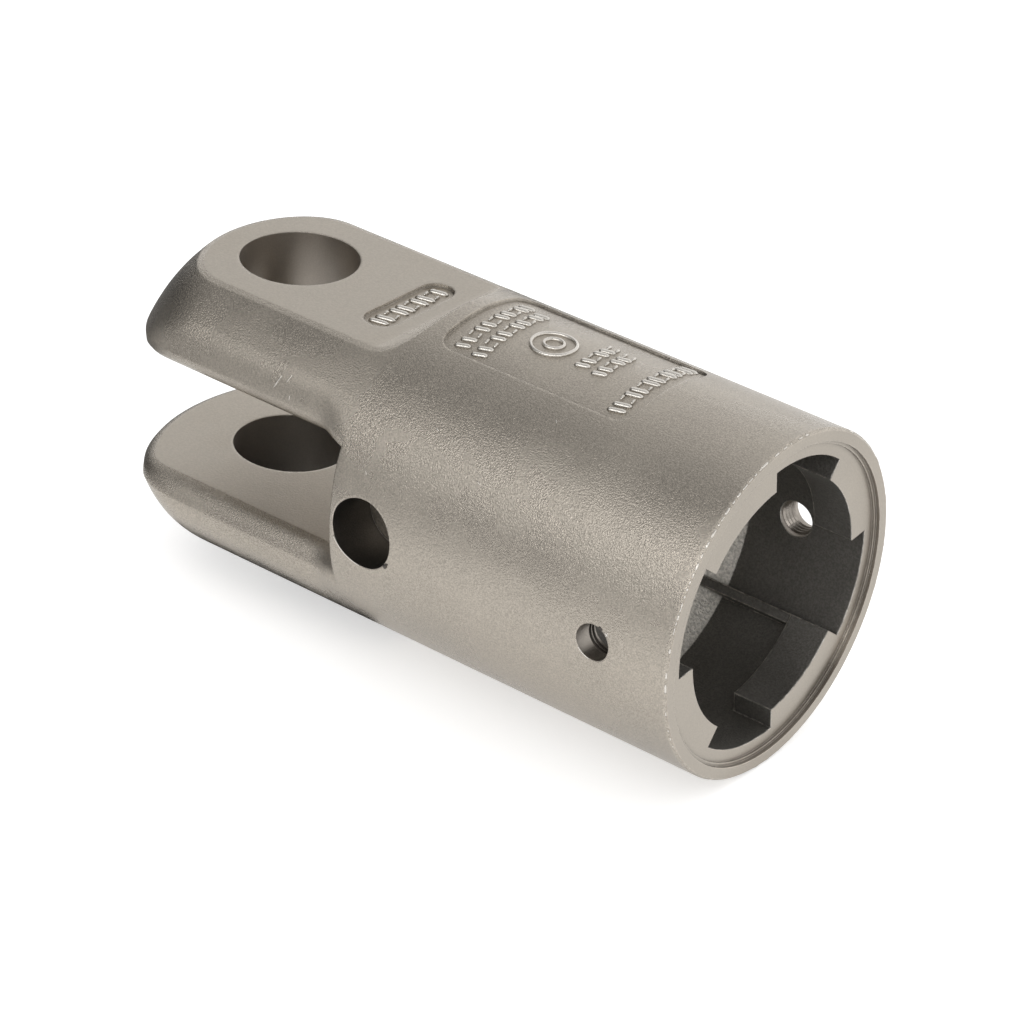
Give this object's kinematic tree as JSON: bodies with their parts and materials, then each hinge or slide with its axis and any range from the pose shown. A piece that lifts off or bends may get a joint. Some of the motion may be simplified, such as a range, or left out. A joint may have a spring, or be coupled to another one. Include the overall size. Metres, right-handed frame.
{
  "type": "overhead swivel body",
  "caption": "Cast steel fork-and-socket body: two rounded ears with a cross bore for a clevis pin, and a round barrel with an internal bayonet ring at its open end.",
  "frame": {"origin": "where the axis of the ears' pin bore crosses the barrel's axis, in the middle of the fork gap", "axes": "+X along the barrel towards the open mouth, +Z along the pin bore through both ears, +Y to the side away from the blind lock hole"},
  "size_m": [0.159, 0.076, 0.076],
  "materials": {
    "cast_stainless": "grit-blasted stainless casting with a fine grain, warm nickel grey, with smoother machined flats, bores and end face"
  },
  "bodies": {
    "root": {"swivel_body": "cast_stainless"}
  },
  "joints": []
}
